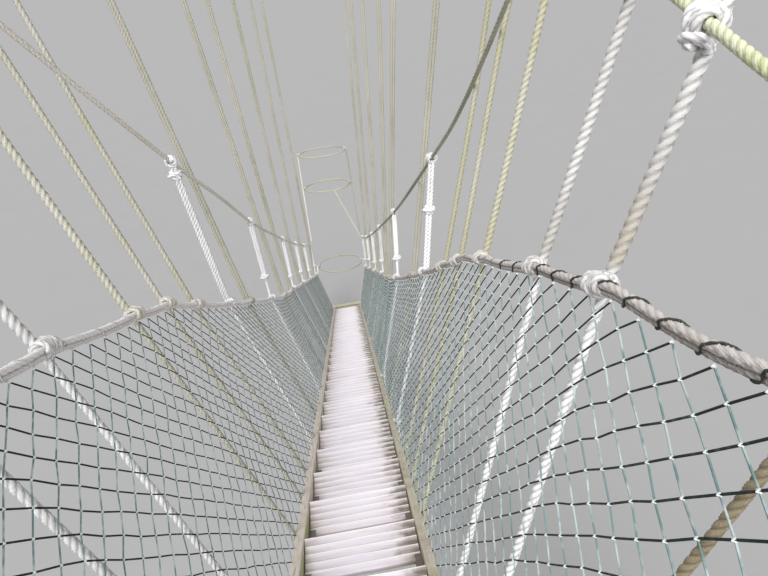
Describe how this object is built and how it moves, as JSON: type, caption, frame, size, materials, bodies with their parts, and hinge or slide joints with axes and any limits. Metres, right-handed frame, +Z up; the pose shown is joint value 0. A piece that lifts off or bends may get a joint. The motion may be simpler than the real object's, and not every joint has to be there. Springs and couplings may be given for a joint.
{
  "type": "rope suspension footbridge",
  "caption": "Narrow stepped timber footbridge with side rails, hung in rope slings from two high cables, with rope handrails, guard ropes and knotted side nets.",
  "frame": {"origin": "middle of the upper end bearer's flat back face", "axes": "+Y level along the walkway towards its lower end, +Z up, +X to the right when walking down"},
  "size_m": [5.2184, 18.7901, 10.6354],
  "materials": {
    "timber": "weathered bare timber with a green tinge",
    "tread_boards": "bleached, weathered boards",
    "white_rope": "twisted rope, off-white",
    "old_rope": "twisted rope, aged yellow-green",
    "handrail_rope": "pair of twisted ropes, greyish beige",
    "dark_rope": "twisted rope, weathered grey-brown",
    "net_cord": "dark green netting cord"
  },
  "bodies": {
    "root": {"upper_bearer": "timber", "lower_bearer": "timber", "rail_left": "timber", "rail_right": "timber", "tread_flight_1": "tread_boards", "tread_flight_2": "tread_boards", "tread_flight_3": "tread_boards", "tread_flight_4": "tread_boards", "tread_flight_5": "tread_boards", "handrail_left": "handrail_rope", "guard_rope_left": "dark_rope", "approach_rope_left": "old_rope", "high_cable_left": "dark_rope", "handrail_right": "handrail_rope", "guard_rope_right": "dark_rope", "approach_rope_right": "old_rope", "high_cable_right": "dark_rope", "lower_stay": "old_rope", "sling_01": "old_rope", "sling_02": "old_rope", "sling_03": "old_rope", "sling_04": "old_rope", "sling_05": "white_rope", "sling_06": "white_rope", "sling_07": "old_rope", "sling_08": "old_rope", "sling_09": "old_rope", "sling_10": "white_rope", "sling_11": "old_rope", "sling_12": "white_rope", "sling_13": "old_rope", "sling_14": "old_rope", "sling_15": "white_rope", "sling_16": "old_rope", "sling_17": "white_rope", "sling_18": "old_rope", "sling_19": "white_rope", "sling_20": "old_rope", "sling_21": "white_rope", "net_left_upper": "net_cord", "net_left_lower": "net_cord", "net_right_upper": "net_cord", "net_right_lower": "net_cord", "upper_handrail_collar": "old_rope", "upper_approach_collar": "old_rope", "lower_handrail_collar": "old_rope", "lower_guard_collar": "old_rope", "lower_stay_collar": "old_rope"}
  },
  "joints": []
}
